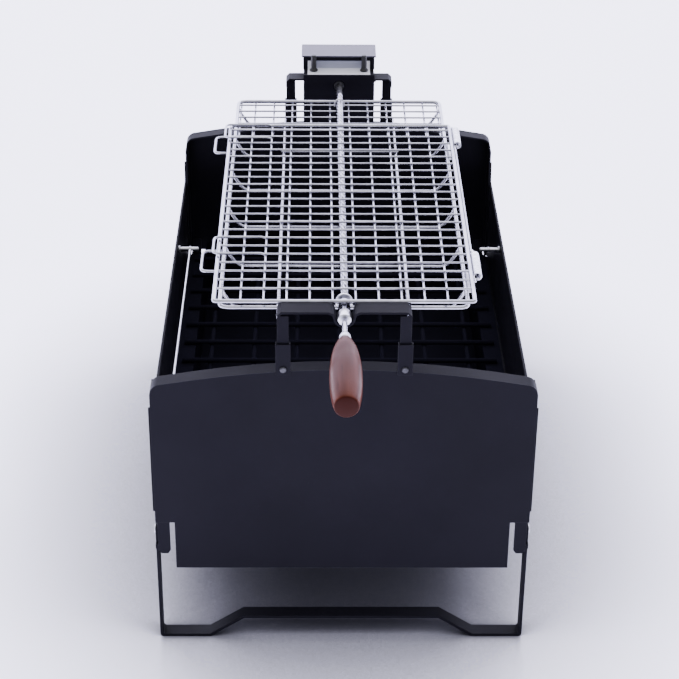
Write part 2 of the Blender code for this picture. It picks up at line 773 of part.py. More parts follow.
def motor_housing():
    h, t = MOTOR_HALF, 1.6
    y0, y1 = MOTOR_Y0, MOTOR_Y1 - 1.2 - GAP
    z0, z1 = MOTOR_BOTTOM, MOTOR_TOP
    body = add("motor_housing", *box(-h, h, y0, y1, z0, z1), plastic())
    cut(
        body,
        box(-h + t, h - t, y0 + t, y1 + 1, z0 + t, z1 - t),
        turned([(4.9, -4), (4.9, 8)], "Y", (0, y0, SPIT_Z), 16),
        box(h - t - 1, h + 1, 462.0, 470.0, 286.6, 289.4),
    )
    return body


def motor_back():
    h = MOTOR_HALF
    y1 = MOTOR_Y1
    plate = add("motor_back", *box(-h, h, y1 - 1.2, y1, 270.3, MOTOR_TOP), plastic())
    return plate


def battery_door():
    h = MOTOR_HALF
    y1 = MOTOR_Y1
    pivot = (0, y1 - 0.6, MOTOR_BOTTOM + 0.6)
    door = add("battery_door", *box(-h, h, y1 - 1.2, y1, MOTOR_BOTTOM, 270.0), plastic(), origin=pivot)
    joined(door, box(-6, 6, y1 - 0.2, y1 + 1.4, 264.0, 267.0))
    return door


def motor_front():
    h = MOTOR_HALF + 0.5
    y0, y1 = MOTOR_Y0 - GAP - SHEET, MOTOR_Y0 - GAP
    z0, z1 = SUP_TOP + GAP + SHEET + GAP, MOTOR_TOP + 0.4
    frame = add("window_frame", *box(-h, h, y0, y1, z0, z1), black_paint())
    cut(frame, box(-h + 4, h - 4, y0 - 1, y1 + 1, z0 - 1, z1 - 3.0))
    # a pale face in the window, with a ledge in front that the posts stand on
    face = add("motor_face", *box(-h + 4.3, h - 4.3, y0 + 0.3, y1, z0, z1 - 3.3), grey_plastic())
    joined(face, box(-h + 4.3, h - 4.3, PLATE_Y + 1.7, y0 + 0.5, z0, z0 + 0.9))


def motor_cover():
    z = MOTOR_TOP + 0.7
    outline = [(-33.8, 452.2), (33.8, 452.2), (34.4, 452.8), (34.4, 481.6), (33.8, 482.2)]
    outline += [(-33.8, 482.2), (-34.4, 481.6), (-34.4, 452.8)]
    return add("motor_cover", *prism(outline, "Z", z, z + 1.4), brushed())


def post(name, sign):
    centre = (sign * 23.2, 446.8, SUP_TOP + GAP + SHEET + GAP + 0.9 + GAP)
    profile = [(3.9, 0), (3.9, 1.0), (2.6, 2.4), (2.5, 14.2), (1.9, 15.0)]
    return add(name, *turned(profile, "Z", centre, 12), plastic(), origin=centre)


def toothed(teeth, module, root, tip, phase, centre):
    """A spur outline in (x, z): narrow straight-sided teeth with ample backlash."""
    out = []
    r = teeth * module / 2
    step = 2 * math.pi / teeth
    for i in range(teeth):
        a = phase + i * step
        for share, radius in ((-0.29, r - root), (-0.11, r + tip), (0.11, r + tip), (0.29, r - root)):
            t = a + share * step
            out.append((centre[0] + radius * math.cos(t), centre[2] + radius * math.sin(t)))
    return out


GEAR_TEETH = 30
PINION_TEETH = 10
GEAR_Y = 459.0
PINION_Z = SPIT_Z - (GEAR_TEETH + PINION_TEETH) / 2


def gear_train():
    gear_at = (0, GEAR_Y, SPIT_Z)
    outline = toothed(GEAR_TEETH, 1.0, 1.25, 0.8, math.pi / 2 + math.pi / GEAR_TEETH * (GEAR_TEETH % 2), gear_at)
    gear = add("output_gear", *prism(outline, "Y", GEAR_Y, GEAR_Y + 4), gear_plastic(), origin=gear_at)
    joined(gear, turned([(4.4, 3.5), (4.4, 18), (3.6, 18.8)], "Y", gear_at, 16))
    cut(gear, turned([(2.4, -1), (2.4, 30)], "Y", gear_at, 12))
    pin_at = (0, GEAR_Y, PINION_Z)
    # a gap of the pinion faces the gear's lowest tooth
    phase = math.pi / 2 + math.pi / PINION_TEETH
    outline = toothed(PINION_TEETH, 1.0, 1.25, 0.8, phase, pin_at)
    pinion = add("motor_pinion", *prism(outline, "Y", GEAR_Y, GEAR_Y + 4), gear_plastic(), origin=pin_at)
    cut(pinion, turned([(1.3, -1), (1.3, 5)], "Y", pin_at, 10))
    can = [(1.0, -6.5), (1.0, 0), (7.0, 0), (7.4, 0.5), (7.4, 11.6), (7.0, 12.2)]
    at = (0, GEAR_Y + 7.0, PINION_Z)
    add("motor_can", *turned(can, "Y", at, 20), steel(), origin=at)
    socket = [(4.4, 0), (4.4, GEAR_Y - 430.2 - GAP), (2.1, GEAR_Y - 430.2 - GAP), (2.1, 46.0)]
    at = (0, 430.2, SPIT_Z)
    tube = add("drive_socket", *turned(socket, "Y", at, 16), steel(), origin=at)
    side = ROD_SIDE * math.sqrt(2) / 2 + 0.35
    hole = [(side, 0), (0, side), (-side, 0), (0, -side)]
    hole = [(x, z + SPIT_Z) for x, z in hole]
    cut(tube, prism(hole, "Y", 429.0, 452.0))


def battery(name, z):
    at = (-25.0, 464.2, z)
    profile = [(6.4, 0), (7.0, 0.5), (7.0, 48.0), (6.2, 48.6), (2.7, 48.6), (2.7, 50.2)]
    return add(name, *turned(profile, "X", at, 16), battery_wrap(), origin=at)


def switch():
    x = MOTOR_HALF
    pivot = (x, 464.6, 288.0)
    knob = add("motor_switch", *box(x + GAP, x + 2.4, 462.4, 466.8, 285.4, 290.6), plastic(), origin=pivot)
    joined(knob, box(x - 2.4, x + 0.6, 463.4, 465.8, 287.0, 289.0))
    return knob


def motor_parts():
    motor_bracket()
    motor_housing()
    motor_back()
    battery_door()
    motor_front()
    motor_cover()
    post("motor_post_left", -1)
    post("motor_post_right", 1)
    gear_train()
    battery("battery_lower", 244.8)
    battery("battery_upper", 259.2)
    switch()


def box_parts():
    end_panel("end_panel_front", False)
    end_panel("end_panel_rear", True)
    side_wall("side_wall_left", -1)
    side_wall("side_wall_right", 1)
    ash_pan()
    charcoal_grate()
    wall_peg("wall_peg_left", -1)
    wall_peg("wall_peg_right", 1)
    for end, rear in (("front", False), ("rear", True)):
        leg(f"leg_{end}", rear)
        support(f"support_{end}", rear)
        for hand, sign in (("left", -1), ("right", 1)):
            leg_bracket(f"leg_bracket_{end}_{hand}", sign, rear)
            y = SIDE_LEN - PIVOT_Y if rear else PIVOT_Y
            start = (sign * (LEG_X + STRAP_T + 1.1), y, PIVOT_Z)
            rivet(f"leg_pin_{end}_{hand}", start, sign, 6.4, steel())
            sleeve(f"sleeve_{end}_{hand}", sign, rear)
            sleeve_screw(f"sleeve_screw_{end}_{hand}", sign, rear)


def main():
    for obj in list(bpy.data.objects):
        bpy.data.objects.remove(obj, do_unlink=True)
    box_parts()
    spit_parts()
    basket_parts()
    motor_parts()


main()
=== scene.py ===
"""The looks of a folding charcoal spit roaster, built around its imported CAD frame.

Sheet metal keeps its CAD shape with softened edges. The basket's wires are made round, the spit is
twisted, and the handle, ferrule, bush and collar are turned finely. Lengths are in millimetres, and MM
turns them into metres; the camera's and the lamps' places and the noise scales are in metres.
"""

import json
import math

import bmesh
import bpy
from mathutils import Matrix, Vector


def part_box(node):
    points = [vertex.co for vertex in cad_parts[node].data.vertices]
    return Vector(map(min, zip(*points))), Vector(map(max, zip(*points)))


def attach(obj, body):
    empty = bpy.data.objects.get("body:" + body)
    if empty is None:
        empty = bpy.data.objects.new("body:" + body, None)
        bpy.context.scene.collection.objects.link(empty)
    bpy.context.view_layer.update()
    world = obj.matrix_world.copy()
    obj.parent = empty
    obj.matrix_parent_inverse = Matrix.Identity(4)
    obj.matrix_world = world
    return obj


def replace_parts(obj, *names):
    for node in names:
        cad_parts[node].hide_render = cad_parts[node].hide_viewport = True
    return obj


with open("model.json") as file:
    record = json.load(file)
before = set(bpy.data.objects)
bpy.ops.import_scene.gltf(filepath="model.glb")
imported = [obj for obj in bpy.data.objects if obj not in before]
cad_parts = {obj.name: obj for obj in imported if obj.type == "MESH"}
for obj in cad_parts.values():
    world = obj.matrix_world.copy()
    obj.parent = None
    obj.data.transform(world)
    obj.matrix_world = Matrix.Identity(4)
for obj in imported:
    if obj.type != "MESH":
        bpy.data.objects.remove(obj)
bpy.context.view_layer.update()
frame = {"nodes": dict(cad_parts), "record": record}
NODES = frame["nodes"]

MM = 0.001
SPIT_Z = sum(p.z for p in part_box("drive_socket")) / 2 / MM
WIRE_R = 0.82             # the grilles' crossing wires
RIM_R = 1.6               # the lid's and the tray's outer wire
BOW_R = 1.2               # the bows under the tray
LOOP_R = 1.15             # the tray's finger loops
BAIL_R = 0.95             # the hinge hooks over the lid's edge
RAIL_R = 1.3              # the two rails of the tray floor
TIE_R = 1.0               # the short cross wires on the rails
CAMERA_AT = (-0.0198, -1.3672, 0.9548)
CAMERA_YAW = 0.79
CAMERA_PITCH = 29.82
CAMERA_ROLL = 0.50
CAMERA_LENS = 100.14
FLOOR_COLOUR = (0.83, 0.82, 0.93)
FLOOR_GLOW = 3.3
FLOOR_SHADE_REACH = 0.25  # metres over which the object shades the floor
FLOOR_SHADE_POWER = 4.5
SURROUND_STRENGTH = 0.80


# ---- node materials ----
class Shade:
    """A Principled material and short ways to add procedural detail to it."""

    def __init__(self, name, colour, metallic=0.0, roughness=0.5, specular=0.5, coat=0.0, coat_rough=0.1):
        self.mat = bpy.data.materials.new(name)
        self.mat.use_nodes = True
        self.tree = self.mat.node_tree
        self.out = self.tree.nodes["Principled BSDF"]
        self.out.inputs["Base Color"].default_value = (*colour, 1)
        self.out.inputs["Metallic"].default_value = metallic
        self.out.inputs["Roughness"].default_value = roughness
        self.out.inputs["Specular IOR Level"].default_value = specular
        self.out.inputs["Coat Weight"].default_value = coat
        self.out.inputs["Coat Roughness"].default_value = coat_rough
        self.place = self.node("ShaderNodeTexCoord").outputs["Object"]
        self.heights = []

    def node(self, kind, **settings):
        made = self.tree.nodes.new(kind)
        for key, value in settings.items():
            setattr(made, key, value)
        return made

    def link(self, a, b):
        self.tree.links.new(a, b)

    def scaled(self, scale):
        mapping = self.node("ShaderNodeMapping")
        mapping.inputs["Scale"].default_value = scale
        self.link(self.place, mapping.inputs["Vector"])
        return mapping.outputs["Vector"]

    def noise(self, scale, detail=3.0, stretch=(1, 1, 1), rough=0.55):
        made = self.node("ShaderNodeTexNoise")
        made.inputs["Scale"].default_value = scale
        made.inputs["Detail"].default_value = detail
        made.inputs["Roughness"].default_value = rough
        self.link(self.scaled(stretch), made.inputs["Vector"])
        return made.outputs["Fac"]

    def spread(self, value, low, high, from_low=0.3, from_high=0.7):
        made = self.node("ShaderNodeMapRange")
        made.inputs["From Min"].default_value = from_low
        made.inputs["From Max"].default_value = from_high
        made.inputs["To Min"].default_value = low
        made.inputs["To Max"].default_value = high
        self.link(value, made.inputs["Value"])
        return made.outputs["Result"]

    def mix(self, fac, a, b, mode="MIX"):
        made = self.node("ShaderNodeMix", data_type="RGBA", blend_type=mode)
        if hasattr(fac, "node"):
            self.link(fac, made.inputs[0])
        else:
            made.inputs[0].default_value = fac
        for slot, value in ((6, a), (7, b)):
            if hasattr(value, "node"):
                self.link(value, made.inputs[slot])
            else:
                made.inputs[slot].default_value = (*value, 1)
        return made.outputs[2]

    def sum(self, a, b, operation="ADD"):
        made = self.node("ShaderNodeMath", operation=operation)
        for slot, value in ((0, a), (1, b)):
            if hasattr(value, "node"):
                self.link(value, made.inputs[slot])
            else:
                made.inputs[slot].default_value = value
        return made.outputs[0]

    def colour(self, value):
        self.link(value, self.out.inputs["Base Color"])

    def rough(self, value):
        self.link(value, self.out.inputs["Roughness"])

    def bump(self, height, strength, distance):
        made = self.node("ShaderNodeBump")
        made.inputs["Strength"].default_value = strength
        made.inputs["Distance"].default_value = distance
        self.link(height, made.inputs["Height"])
        if self.heights:
            self.link(self.heights[-1], made.inputs["Normal"])
        self.heights.append(made.outputs["Normal"])
        self.link(made.outputs["Normal"], self.out.inputs["Normal"])

    def edge_wear(self, radius=0.7):
        """A mask that is 1 along edges, where a rounded normal leaves the face's own; radius in mm."""
        round_over = self.node("ShaderNodeBevel", samples=6)
        round_over.inputs["Radius"].default_value = radius * MM
        geometry = self.node("ShaderNodeNewGeometry")
        agree = self.node("ShaderNodeVectorMath", operation="DOT_PRODUCT")
        self.link(round_over.outputs["Normal"], agree.inputs[0])
        self.link(geometry.outputs["Normal"], agree.inputs[1])
        return self.spread(agree.outputs["Value"], 1.0, 0.0, 0.85, 0.99)


def black_coat():
    """Satin black powder coat: fine orange peel, faint dust and lighter worn edges."""
    s = Shade("black_coat", (0.005, 0.005, 0.008), roughness=0.5, specular=0.05)
    cloud = s.noise(9.0, 4.0)
    fleck = s.noise(420.0, 2.0)
    base = s.mix(s.spread(cloud, 0.0, 1.0), (0.0060, 0.0056, 0.0092), (0.0082, 0.0076, 0.0125))
    speck = s.mix(s.spread(fleck, 0.0, 0.35, 0.66, 0.78), base, (0.012, 0.012, 0.016))
    worn = s.mix(s.sum(s.edge_wear(), 0.5, "MULTIPLY"), speck, (0.045, 0.045, 0.055))
    s.colour(worn)
    s.rough(s.spread(s.noise(14.0, 5.0), 0.44, 0.58))
    s.bump(s.noise(900.0, 2.0), 0.10, 0.0003)
    s.bump(s.noise(35.0, 2.0), 0.06, 0.002)
    return s.mat


def inside_coat_painted_shade():
    """The same coat inside the box, duller and without reflection so that it reads darker: painted shade
    of the box's inside.
    """
    s = Shade("inside_coat_painted_shade", (0.002, 0.002, 0.003), roughness=0.85, specular=0.0)
    cloud = s.noise(11.0, 4.0)
    s.colour(s.mix(s.spread(cloud, 0.0, 1.0), (0.0080, 0.0078, 0.0135), (0.0105, 0.0102, 0.0170)))
    s.rough(s.spread(s.noise(18.0, 4.0), 0.75, 0.92))
    s.bump(s.noise(700.0, 2.0), 0.12, 0.0003)
    return s.mat


def bright_wire():
    """Plated wire: bright, slightly clouded, with a fine bump."""
    s = Shade("bright_wire", (0.80, 0.80, 0.83), metallic=1.0, roughness=0.24)
    cloud = s.noise(60.0, 4.0)
    s.colour(s.mix(s.spread(cloud, 0.0, 1.0), (0.34, 0.34, 0.39), (0.56, 0.56, 0.62)))
    s.rough(s.spread(s.noise(170.0, 3.0), 0.14, 0.26))
    s.bump(s.noise(900.0, 2.0), 0.10, 0.0002)
    return s.mat


def bare_steel():
    """Zinc-plated sheet and turned steel: soft spangle and fine scratches."""
    s = Shade("bare_steel", (0.62, 0.62, 0.65), metallic=1.0, roughness=0.32)
    spangle = s.node("ShaderNodeTexVoronoi")
    spangle.inputs["Scale"].default_value = 260.0
    s.link(s.place, spangle.inputs["Vector"])
    tone = s.spread(spangle.outputs["Distance"], 0.0, 1.0, 0.1, 0.7)
    s.colour(s.mix(tone, (0.56, 0.56, 0.60), (0.74, 0.74, 0.77)))
    s.rough(s.spread(s.noise(240.0, 3.0, (1, 8, 1)), 0.24, 0.42))
    s.bump(s.noise(500.0, 2.0, (1, 12, 1)), 0.08, 0.0002)
    return s.mat


def dull_steel():
    """Blackened steel of the small screws and the drive socket, also laid on the spit's rear end as
    painted shade.
    """
    s = Shade("dull_steel", (0.05, 0.05, 0.055), metallic=0.6, roughness=0.45, specular=0.3)
    s.colour(s.mix(s.spread(s.noise(180.0, 3.0), 0.0, 1.0), (0.035, 0.035, 0.04), (0.075, 0.075, 0.085)))
    s.rough(s.spread(s.noise(260.0, 2.0), 0.38, 0.55))
    return s.mat


def brushed_plate():
    """Stainless plate with straight brushing across its length."""
    s = Shade("brushed_plate", (0.60, 0.58, 0.65), metallic=1.0, roughness=0.38)
    lines = s.noise(60.0, 6.0, (1.5, 60, 1), 0.7)
    s.colour(s.mix(s.spread(lines, 0.0, 1.0), (0.078, 0.074, 0.092), (0.112, 0.107, 0.130)))
    s.rough(s.spread(lines, 0.30, 0.48))
    s.bump(lines, 0.12, 0.0002)
    return s.mat


def handle_wood():
    """Red-brown stained hardwood with long grain, pores and a satin varnish."""
    s = Shade("handle_wood", (0.20, 0.07, 0.04), roughness=0.5, specular=0.06, coat=0.02, coat_rough=0.25)
    bend = s.noise(22.0, 3.0, (1, 0.25, 1))
    wave = s.node("ShaderNodeTexWave", wave_type="RINGS", rings_direction="Y")
    wave.inputs["Scale"].default_value = 42.0
    wave.inputs["Distortion"].default_value = 9.0
    wave.inputs["Detail"].default_value = 3.0
    wave.inputs["Detail Scale"].default_value = 1.4
    s.link(s.scaled((1.0, 0.10, 1.0)), wave.inputs["Vector"])
    grain = s.sum(s.sum(wave.outputs["Fac"], 0.6, "MULTIPLY"), s.sum(bend, 0.5, "MULTIPLY"))
    base = s.mix(s.spread(grain, 0.0, 1.0, 0.2, 0.85), (0.068, 0.015, 0.008), (0.108, 0.031, 0.020))
    pores = s.noise(520.0, 3.0, (1, 0.055, 1), 0.7)
    dark = s.mix(s.spread(pores, 0.0, 0.65, 0.60, 0.74), base, (0.035, 0.009, 0.005))
    along = s.node("ShaderNodeSeparateXYZ")
    s.link(s.place, along.inputs[0])
    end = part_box("handle")[0].y
    end_grain = s.spread(along.outputs["Y"], 1.0, 0.0, end + 0.15 * MM, end + 0.9 * MM)
    s.colour(s.mix(end_grain, dark, (0.026, 0.0035, 0.0015)))
    s.rough(s.spread(s.noise(90.0, 3.0), 0.28, 0.42))
    s.bump(pores, 0.10, 0.0002)
    return s.mat


def black_plastic():
    """Moulded black plastic with a fine spark-eroded texture."""
    s = Shade("black_plastic", (0.008, 0.008, 0.010), roughness=0.5, specular=0.4)
    s.colour(s.mix(s.spread(s.noise(40.0, 3.0), 0.0, 1.0), (0.006, 0.006, 0.008), (0.011, 0.011, 0.013)))
    s.rough(s.spread(s.noise(300.0, 2.0), 0.42, 0.58))
    s.bump(s.noise(1400.0, 2.0), 0.25, 0.0002)
    return s.mat


def window_face():
    """Pale grey moulding, a blue-grey panel in the middle that darkens towards the top as painted shade
    under the motor cover, and lighter margins.
    """
    s = Shade("window_face", (0.45, 0.47, 0.55), roughness=0.45)
    low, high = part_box("motor_face")
    split = s.node("ShaderNodeSeparateXYZ")
    s.link(s.place, split.inputs[0])
    away = s.node("ShaderNodeMath", operation="ABSOLUTE")
    s.link(split.outputs["X"], away.inputs[0])
    side = s.spread(away.outputs[0], 0.0, 1.0, 22.2 * MM, 22.8 * MM)
    lower = s.spread(split.outputs["Z"], 1.0, 0.0, low.z + 0.8 * MM, low.z + 1.4 * MM)
    margin = s.sum(side, lower, "MAXIMUM")
    # painted shade: the panel darkens upward, standing in for the shadow under the cover's overhang
    cover_shade_ramp = s.spread(split.outputs["Z"], 0.0, 1.0, low.z, high.z)
    panel = s.mix(cover_shade_ramp, (0.40, 0.41, 0.52), (0.24, 0.25, 0.34))
    fine = s.mix(s.spread(s.noise(150.0, 3.0), 0.0, 0.15), panel, (0.5, 0.5, 0.6))
    s.colour(s.mix(margin, fine, (0.86, 0.86, 0.93)))
    s.rough(s.spread(s.noise(80.0, 3.0), 0.38, 0.55))
    s.bump(s.noise(1100.0, 2.0), 0.1, 0.0002)
    return s.mat


def nylon():
    """Cream gear nylon, slightly clouded."""
    s = Shade("nylon", (0.75, 0.73, 0.66), roughness=0.4)
    s.colour(s.mix(s.spread(s.noise(70.0, 3.0), 0.0, 1.0), (0.70, 0.68, 0.60), (0.80, 0.78, 0.72)))
    s.rough(s.spread(s.noise(200.0, 2.0), 0.34, 0.48))
    return s.mat


def battery_sleeve():
    """A plain two-tone cell sleeve with no print."""
    s = Shade("battery_sleeve", (0.05, 0.06, 0.12), roughness=0.25, coat=0.4)
    s.colour(s.mix(s.spread(s.noise(50.0, 3.0), 0.0, 1.0), (0.04, 0.05, 0.10), (0.07, 0.08, 0.15)))
    s.rough(s.spread(s.noise(160.0, 2.0), 0.2, 0.32))
    return s.mat


def floor_sheet():
    """A pale floor that glows a little in the open and darkens where the object shades it."""
    s = Shade("floor_sheet", FLOOR_COLOUR, roughness=0.30, specular=0.5)
    tint = s.spread(s.noise(2.5, 3.0), 0.0, 1.0)
    darker = tuple(0.99 * c for c in FLOOR_COLOUR)
    s.rough(s.spread(s.noise(5.0, 3.0), 0.26, 0.36))
    s.out.inputs["Emission Color"].default_value = (0.78, 0.77, 1.0, 1)
    open_sky = s.node("ShaderNodeAmbientOcclusion", samples=12)
    open_sky.inputs["Distance"].default_value = FLOOR_SHADE_REACH
    deep = s.sum(open_sky.outputs["AO"], FLOOR_SHADE_POWER, "POWER")
    s.link(s.sum(deep, FLOOR_GLOW, "MULTIPLY"), s.out.inputs["Emission Strength"])
    s.colour(s.mix(deep, (0.02, 0.02, 0.03), s.mix(tint, darker, FLOOR_COLOUR)))
    return s.mat


MATS = {
    "black_coat": black_coat(),
    "inside": inside_coat_painted_shade(),
    "chrome_wire": bright_wire(),
    "plain_steel": bare_steel(),
    "dull_steel": dull_steel(),
    "brushed_cover": brushed_plate(),
    "handle_wood": handle_wood(),
    "black_plastic": black_plastic(),
    "grey_face": window_face(),
    "gear_nylon": nylon(),
    "battery_wrap": battery_sleeve(),
}
SLOT_OF = {row["node"]: row["material_slot"] for row in frame["record"]["subparts"]}
BODY_OF = {n: b for b, names in frame["record"]["behaviour"]["bodies"].items() for n in names}


# ---- mesh helpers ----
def mesh_piece(name, build, slot, body, smooth=True, mat=None):
    """A new mesh piece made by build(bm), finished and riding on a body."""
    data = bpy.data.meshes.new(name)
    bm = bmesh.new()
    build(bm)
    bmesh.ops.recalc_face_normals(bm, faces=bm.faces)
    bm.to_mesh(data)
    bm.free()
    piece = bpy.data.objects.new(name, data)
    bpy.context.scene.collection.objects.link(piece)
    data.materials.append(mat or MATS[slot])
    if smooth:
        for face in data.polygons:
            face.use_smooth = True
        data.set_sharp_from_angle(angle=math.radians(40))
    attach(piece, body)
    return piece


def tube(bm, path, radius, sides=12, closed=False):
    """A round wire along a path of points in millimetres, with flat ends."""
    points = [Vector(p) * MM for p in path]
    count = len(points)
    rings = []
    side = None
    for i, p in enumerate(points):
        before = points[i - 1] if (i or closed) else None
        after = points[(i + 1) % count] if (i < count - 1 or closed) else None
        a = (p - before).normalized() if before is not None else None
        b = (after - p).normalized() if after is not None else None
        way = ((a or b) + (b or a)).normalized()
        if side is None:
            side = way.orthogonal().normalized()
        side = (side - way * side.dot(way)).normalized()
        other = way.cross(side)
        ring = []
        for k in range(sides):
            t = 2 * math.pi * k / sides
            ring.append(bm.verts.new(p + (side * math.cos(t) + other * math.sin(t)) * radius * MM))
        rings.append(ring)
    pairs = list(zip(rings, rings[1:]))
    if closed:
        pairs.append((rings[-1], rings[0]))
    for r0, r1 in pairs:
        for k in range(sides):
            bm.faces.new((r0[k], r0[(k + 1) % sides], r1[(k + 1) % sides], r1[k]))
    if not closed:
        bm.faces.new(rings[0])
        bm.faces.new(list(reversed(rings[-1])))


def rounded(path, radius, steps=6, closed=False):
    """The path with each corner turned into an arc of about that radius."""
    points = [Vector(p) for p in path]
    count = len(points)
    out = []
    for i, p in enumerate(points):
        if not closed and i in (0, count - 1):
            out.append(p)
            continue
        a = points[i - 1] - p
        b = points[(i + 1) % count] - p
        reach = min(radius, a.length * 0.45, b.length * 0.45)
        start = p + a.normalized() * reach
        end = p + b.normalized() * reach
        for k in range(steps + 1):
            t = k / steps
            out.append(start * (1 - t) ** 2 + p * 2 * t * (1 - t) + end * t * t)
    return out


def turned(bm, profile, centre, sides=48):
    """A turned shape about a line along Y; profile is (radius, along) in millimetres."""
    c = Vector(centre)
    rings = []
    for r, along in profile:
        ring = []
        for k in range(sides):
            t = 2 * math.pi * k / sides
            at = c + Vector((r * math.cos(t), along, r * math.sin(t)))
            ring.append(bm.verts.new(at * MM))
        rings.append(ring)
    for r0, r1 in zip(rings, rings[1:]):
        for k in range(sides):
            bm.faces.new((r0[k], r0[(k + 1) % sides], r1[(k + 1) % sides], r1[k]))
    bm.faces.new(rings[0])
    bm.faces.new(list(reversed(rings[-1])))


def smooth_curve(knots, steps):
    """Points through the knots on a Catmull-Rom curve."""
    ext = [knots[0], *knots, knots[-1]]
    out = []
    for i in range(1, len(ext) - 2):
        p0, p1, p2, p3 = (Vector((*q, 0)) for q in ext[i - 1:i + 3])
        for k in range(steps):
            t = k / steps
            v = 0.5 * (2 * p1 + (p2 - p0) * t + (2 * p0 - 5 * p1 + 4 * p2 - p3) * t * t
                       + (3 * p1 - p0 - 3 * p2 + p3) * t ** 3)
            out.append((v.x, v.y))
    out.append(tuple(knots[-1]))
    return out


def softened(node, width, slot=None, mat=None, segments=2):
    """The CAD sheet or turned shape with its sharp edges rounded over."""
    source = NODES[node]
    data = source.data.copy()
    bm = bmesh.new()
    bm.from_mesh(data)
    bmesh.ops.remove_doubles(bm, verts=bm.verts, dist=2e-6)
    bmesh.ops.dissolve_limit(bm, angle_limit=math.radians(1), verts=bm.verts, edges=bm.edges)
    bm.to_mesh(data)
    bm.free()
    data.materials.clear()
    data.materials.append(mat or MATS[slot or SLOT_OF[node]])
    piece = bpy.data.objects.new(node + "_skin", data)
    bpy.context.scene.collection.objects.link(piece)
    bevel = piece.modifiers.new("edges", "BEVEL")
    bevel.width = width * MM
    bevel.segments = segments
    bevel.limit_method = "ANGLE"
    bevel.angle_limit = math.radians(35)
    bevel.use_clamp_overlap = True
    bevel.harden_normals = False
    for face in data.polygons:
        face.use_smooth = True
    data.set_sharp_from_angle(angle=math.radians(35))
    normals = piece.modifiers.new("shading", "WEIGHTED_NORMAL")
    normals.keep_sharp = True
    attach(piece, BODY_OF[node])
    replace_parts(piece, node)
    return piece


def span(node):
    """A node's lowest and highest corners in millimetres."""
    low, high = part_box(node)
    return low / MM, high / MM


# ---- sheet metal ----
def sheet_metal():
    """The sheet, strap and turned parts that keep their CAD shape with softened edges."""
    outside = ["end_panel_front", "end_panel_rear", "side_wall_left", "side_wall_right"]
    outside += ["support_front", "support_rear", "leg_front", "leg_rear", "motor_bracket", "window_frame"]
    for node in outside:
        softened(node, 0.35)
    # the ash pan and grate get the inside coat, a copy of the black coat with painted shade
    for node in ("ash_pan", "charcoal_grate"):
        softened(node, 0.25, mat=MATS["inside"])
    for end in ("front", "rear"):
        for hand in ("left", "right"):
            softened(f"leg_bracket_{end}_{hand}", 0.25)
            softened(f"sleeve_{end}_{hand}", 0.25)
            softened(f"leg_pin_{end}_{hand}", 0.25)
            softened(f"sleeve_screw_{end}_{hand}", 0.25, mat=MATS["dull_steel"])
    for node in ("wall_peg_left", "wall_peg_right", "latch_front", "latch_rear"):
        softened(node, 0.15)
    for node in ("end_plate_front", "end_plate_rear", "motor_cover"):
        softened(node, 0.25)
    softened("drive_socket", 0.25, mat=MATS["dull_steel"])
    for node in ("motor_housing", "motor_back", "battery_door", "motor_switch"):
        softened(node, 0.4, segments=3)
    for node in ("motor_post_left", "motor_post_right"):
        softened(node, 0.3)


# ---- basket ----
LID_LOW, LID_HIGH = span("basket_lid")
TRAY_LOW, TRAY_HIGH = span("tray_rim")
LID_HALF = 94.5
LID_COLUMNS = 10
PITCH = 2 * LID_HALF / (LID_COLUMNS + 1.28)
COLUMNS = [(i - (LID_COLUMNS - 1) / 2) * PITCH for i in range(LID_COLUMNS)]
LID_Z = SPIT_Z + 5.4
RIM_Z = SPIT_Z - 5.2
SINK = 0.25               # how far crossing wires are welded into each other
TRAY_HALF = 91.0
TRAY_START = 19.0         # where the tray's near wire lies along the box
TRAY_SHIFT = TRAY_LOW.y + RIM_R - TRAY_START
BOWS = (48.0, 116.5, 185.0, 254.0, 323.0, 392.0)


def basket_lid():
    """A round wire frame, 22 cross wires over 10 lengthways wires, welded at each crossing."""
    y0, y1 = LID_LOW.y + RIM_R, LID_HIGH.y - RIM_R
    top = LID_Z + WIRE_R - SINK / 2
    under = LID_Z - WIRE_R + SINK / 2
    rows = 22
    first, last = y0 + 18.5, y1 - 11.0

    def build(bm):
        h = LID_HALF
        ring = [(-h, y0, LID_Z), (h, y0, LID_Z), (h, y1, LID_Z), (-h, y1, LID_Z)]
        tube(bm, rounded(ring, 2.4, closed=True), RIM_R, 14, closed=True)
        for i in range(rows):
            y = first + (last - first) * i / (rows - 1)
            tube(bm, [(-h - 0.6, y, top), (h + 0.6, y, top)], WIRE_R, 10)
        for x in COLUMNS:
            tube(bm, [(x, y0 - 0.8, under), (x, y1 + 0.8, under)], WIRE_R, 10)

    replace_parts(mesh_piece("lid_wires", build, "chrome_wire", "lid"), "basket_lid")


def tray_wires():
    """The tray's rim with its bows and finger loops, all round wire."""
    h = TRAY_HALF
    y0, y1 = TRAY_LOW.y + RIM_R, TRAY_HIGH.y - RIM_R
    low = RIM_Z - 17.0
    loops = ((75.0, 108.5), (292.0, 325.5))

    def build(bm):
        ring = [(-h, y0, RIM_Z), (h, y0, RIM_Z), (h, y1, RIM_Z), (-h, y1, RIM_Z)]
        tube(bm, rounded(ring, 7.0, closed=True), RIM_R, 14, closed=True)
        for y in BOWS:
            y += TRAY_SHIFT
            bow = [(-h, y, RIM_Z), (-h + 2, y, RIM_Z - 5), (-h + 10, y, low), (0, y, low - 0.2)]
            bow += [(h - 10, y, low), (h - 2, y, RIM_Z - 5), (h, y, RIM_Z)]
            tube(bm, rounded(bow, 5.0), BOW_R, 10)
        for a, b in loops:
            a, b = a + TRAY_SHIFT, b + TRAY_SHIFT
            path = [(-h, a, RIM_Z), (-107.5, a, RIM_Z), (-107.5, b, RIM_Z), (-h, b, RIM_Z)]
            tube(bm, rounded(path, 5.5), LOOP_R, 10)

    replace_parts(mesh_piece("tray_wires", build, "chrome_wire", "spit"), "tray_rim")


